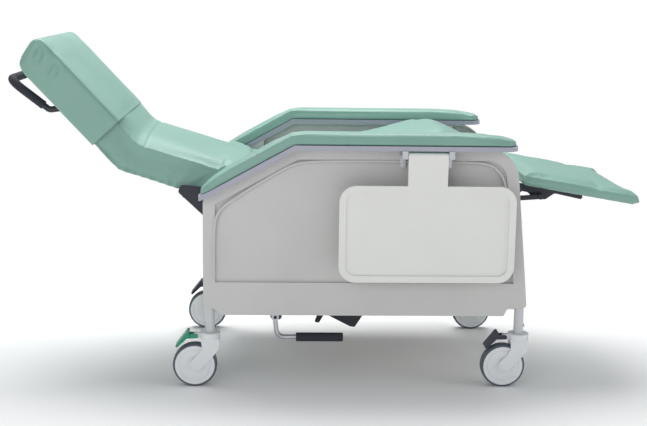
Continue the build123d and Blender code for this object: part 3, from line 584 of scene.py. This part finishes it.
cover.data.materials.clear()
cover.data.materials.append(vinyl)
stuff(cover, 4.0, 0.012, cover_held, cover_loose, 0.25)
bpy.ops.object.select_all(action="DESELECT")
cover.select_set(True)
bpy.context.view_layer.objects.active = cover
bpy.ops.object.mode_set(mode="EDIT")
bpy.ops.mesh.select_all(action="SELECT")
cut = bend + upper_way * (hem - bend_length)
bpy.ops.mesh.bisect(plane_co=cut, plane_no=upper_way, clear_inner=True)
bpy.ops.object.mode_set(mode="OBJECT")
cloth_wall = cover.modifiers.new("cloth thickness", "SOLIDIFY")
cloth_wall.thickness = cover_wall
cloth_wall.offset = -1.0
bpy.ops.object.modifier_apply(modifier="cloth thickness")
finer(cover)
for side in (-1, 1):
    wall = side * (back_half + 0.004)
    pulled(cover, (-0.800, wall, 0.962), (-0.815, wall, 0.925), 0.006, 0.011)
    pulled(cover, (-0.758, wall, 0.918), (-0.775, wall, 0.880), 0.005, 0.011)
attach(cover, "back")


def cord_edge(name, path, radius):
    """A thin run of piping or stitching through the points given."""
    run = bpy.data.curves.new(name, "CURVE")
    run.dimensions = "3D"
    line = run.splines.new("POLY")
    line.points.add(len(path) - 1)
    for point, spot in zip(line.points, path):
        point.co = (*spot, 1.0)
    run.bevel_depth = radius
    run.bevel_resolution = 3
    run.use_fill_caps = True
    piece = bpy.data.objects.new(name, run)
    scene.collection.objects.link(piece)
    bpy.ops.object.select_all(action="DESELECT")
    bpy.context.view_layer.objects.active = piece
    piece.select_set(True)
    bpy.ops.object.convert(target="MESH")
    piece = bpy.context.object
    piece.data.materials.clear()
    piece.data.materials.append(vinyl)
    for face in piece.data.polygons:
        face.use_smooth = True
    return piece


def nearest_on(piece, spot):
    """The point of a piece's surface nearest to a spot, a hair above it."""
    place, normal = piece.closest_point_on_mesh(spot)[1:3]
    return place + normal * 0.0004


for side, label in ((-1, "right"), (1, "left")):
    path = []
    for step in range(60):
        along = hem + 0.002 + (back_end - 0.010 - hem) * step / 59
        spot = bend + upper_way * (along - bend_length) + upper_out * 0.047
        path.append(nearest_on(cover, Vector((spot.x, side * (back_half + 0.006), spot.z))))
    piping = cord_edge("head_cover_piping_" + label, path, 0.0021)
    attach(piping, "back")


# ---- Seat cushion ------------------------------------------------------------------------------------
# A deep roll under the knees, crowned across, with a flap that falls in front of it.

seat_low, seat_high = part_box("seat_cushion")


def seat_held(p):
    return 1.0 if p.z < 0.60 and p.x < seat_high.x - 0.06 or p.x < seat_low.x + 0.09 else 0.0


seat = take_shape(["seat_cushion"], "knee_roll_seat", 0.0075, 0.006, lambda p: seat_held(p) == 0.0)
stuff(seat, 5.0, 0.014, seat_held)
finer(seat)
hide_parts("seat_cushion")
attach(seat, "seat")


# ---- Footrest ----------------------------------------------------------------------------------------
# A long calf pad and a thinner foot pad in one cover with their board, creased where the two meet.

fold = math.radians(9.6)
fold_out = Vector((math.sin(fold), 0.0, math.cos(fold)))
footrest_parts = ["legrest_pad", "foot_pad", "legrest_board"]
underside = min(v.co.dot(fold_out) for v in frame["nodes"]["legrest_board"].data.vertices)


def footrest_held(p):
    return 1.0 if p.dot(fold_out) < underside + 0.010 else 0.0


footrest = take_shape(footrest_parts, "footrest_upholstery", 0.006, 0.004, lambda p: footrest_held(p) == 0.0)
stuff(footrest, 4.0, 0.008, footrest_held)
finer(footrest)
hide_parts(*footrest_parts)
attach(footrest, "legrest")


# ---- Arm pads ----------------------------------------------------------------------------------------
# Long firm pads seated in the plastic channels, crowned across and rounded over at the front.

def arm_base(x):
    """Height of the channel's rim along the arm: flat over the seat, falling away to the rear."""
    return 0.7115 - max(0.0, -0.09275 - x) * math.tan(math.radians(29.0))


def arm_held(p):
    return 1.0 if p.z < arm_base(p.x) + 0.007 else 0.0


for label in ("right", "left"):
    low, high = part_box("arm_pad_" + label)
    pad = take_shape(["arm_pad_" + label], "arm_cushion_" + label, 0.005, 0.003, lambda p: arm_held(p) == 0.0)
    for v in pad.data.vertices:
        over = v.co.z - arm_base(v.co.x)
        if over > 0.0:
            nose = max(0.0, v.co.x - (high.x - 0.17)) / 0.17
            tail = max(0.0, (low.x + 0.10) - v.co.x) / 0.10
            v.co.z -= over * (0.48 * nose ** 2 + 0.42 * tail ** 2)
            middle = (low.y + high.y) / 2
            v.co.y = middle + (v.co.y - middle) * (1.0 + 0.05 * (1.0 - over / 0.031))
    stuff(pad, 3.5, 0.004, arm_held)
    finer(pad)
    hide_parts("arm_pad_" + label)
    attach(pad, "base")


# ---- Side panel beads --------------------------------------------------------------------------------
# A rounded bead runs round the recess of each side panel, under the arm and down both ends.

for side, label in ((-1, "right"), (1, "left")):
    low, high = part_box("side_panel_" + label)
    face = low.y if side < 0 else high.y
    corners = [(-0.321, 0.318), (-0.321, 0.485), (-0.300, 0.528), (-0.202, 0.592), (-0.118, 0.642)]
    corners += [(-0.070, 0.661), (0.420, 0.661), (0.465, 0.650)]
    corners += [(0.492, 0.620), (0.510, 0.560), (0.536, 0.318)]
    path = []
    for (ax, az), (bx, bz) in zip(corners, corners[1:]):
        for step in range(12):
            path.append(Vector((ax + (bx - ax) * step / 12, face, az + (bz - az) * step / 12)))
    path.append(Vector((corners[-1][0], face, corners[-1][1])))
    for _ in range(14):
        middles = [(p + q + r) / 3 for p, q, r in zip(path, path[1:], path[2:])]
        path = [path[0], *middles, path[-1]]
    bead = cord_edge("panel_bead_" + label, path, 0.0042)
    bead.data.materials.clear()
    bead.data.materials.append(finishes["panel_plastic"])
    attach(bead, "base")


# ---- Wheel discs -------------------------------------------------------------------------------------
# Each wheel has a white nylon disc on both sides, out to a thin band of tyre, with a fine groove round it
# and a shallow dish in the middle.

disc_radius = 0.057
groove_radius = 0.0465
for corner in ("front_right", "front_left", "rear_right", "rear_left"):
    low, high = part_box("tyre_" + corner)
    centre = (low + high) / 2
    bpy.ops.object.select_all(action="DESELECT")
    bpy.ops.mesh.primitive_cylinder_add(
        vertices=96, radius=disc_radius, depth=high.y - low.y + 0.0014, rotation=(math.pi / 2, 0.0, 0.0)
    )
    disc = bpy.context.object
    disc.name = "wheel_disc_" + corner
    bpy.ops.object.transform_apply(location=False, rotation=True, scale=False)
    bpy.ops.object.mode_set(mode="EDIT")
    bpy.ops.mesh.select_mode(type="FACE")
    for way in (-1, 1):
        bpy.ops.mesh.select_all(action="DESELECT")
        bpy.ops.object.mode_set(mode="OBJECT")
        for face in disc.data.polygons:
            face.select = face.normal.y * way > 0.9
        bpy.ops.object.mode_set(mode="EDIT")
        bpy.ops.mesh.inset(thickness=disc_radius - groove_radius)
        bpy.ops.mesh.inset(thickness=0.0004, depth=-0.0012)
        bpy.ops.mesh.inset(thickness=0.0010)
        bpy.ops.mesh.inset(thickness=0.0004, depth=0.0012)
        bpy.ops.mesh.inset(thickness=0.0180)
        bpy.ops.mesh.inset(thickness=0.0040, depth=-0.0018)
    bpy.ops.object.mode_set(mode="OBJECT")
    soften = disc.modifiers.new("soft rim", "BEVEL")
    soften.width = 0.0009
    soften.segments = 2
    soften.angle_limit = math.radians(50.0)
    bpy.ops.object.modifier_apply(modifier="soft rim")
    disc.data.transform(Matrix.Translation(centre))
    bpy.ops.object.shade_smooth_by_angle(angle=math.radians(35.0))
    disc.data.materials.clear()
    disc.data.materials.append(finishes["caster_plastic"])
    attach(disc, "wheel_" + corner)
